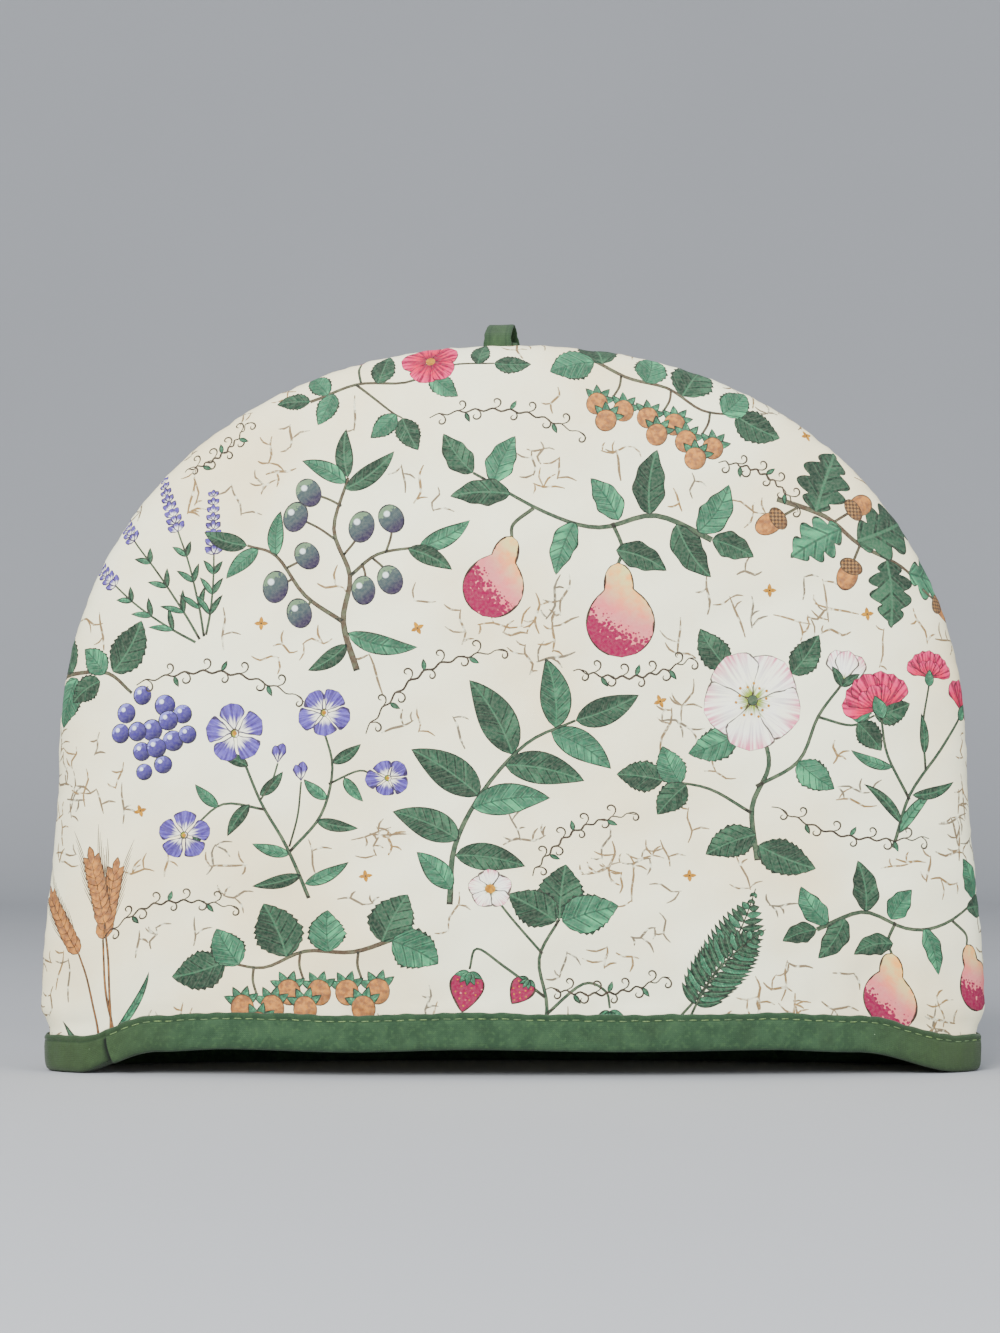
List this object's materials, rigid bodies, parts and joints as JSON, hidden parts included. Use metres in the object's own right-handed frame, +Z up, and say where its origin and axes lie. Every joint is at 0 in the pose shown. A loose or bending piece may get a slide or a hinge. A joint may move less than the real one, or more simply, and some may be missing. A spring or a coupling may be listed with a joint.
{
  "type": "tea cosy",
  "caption": "Padded tea cosy of two D-shaped printed cotton panels, open at the bottom, with a green tape binding round the hem and a hanging loop at the top.",
  "frame": {"origin": "middle of the mouth, on the surface that the cosy stands on", "axes": "+X along the width, to the right of the front panel; +Y through the thickness, from the front panel to the back one; +Z up"},
  "size_m": [0.34, 0.0876, 0.2731],
  "materials": {
    "printed_cotton": "plain-weave cotton, cream, printed with sprigs and fruit",
    "green_tape": "matt cotton bias tape"
  },
  "bodies": {
    "root": {"panel_front": "printed_cotton", "panel_back": "printed_cotton", "hem_binding": "green_tape", "hanging_loop": "green_tape"}
  },
  "joints": []
}
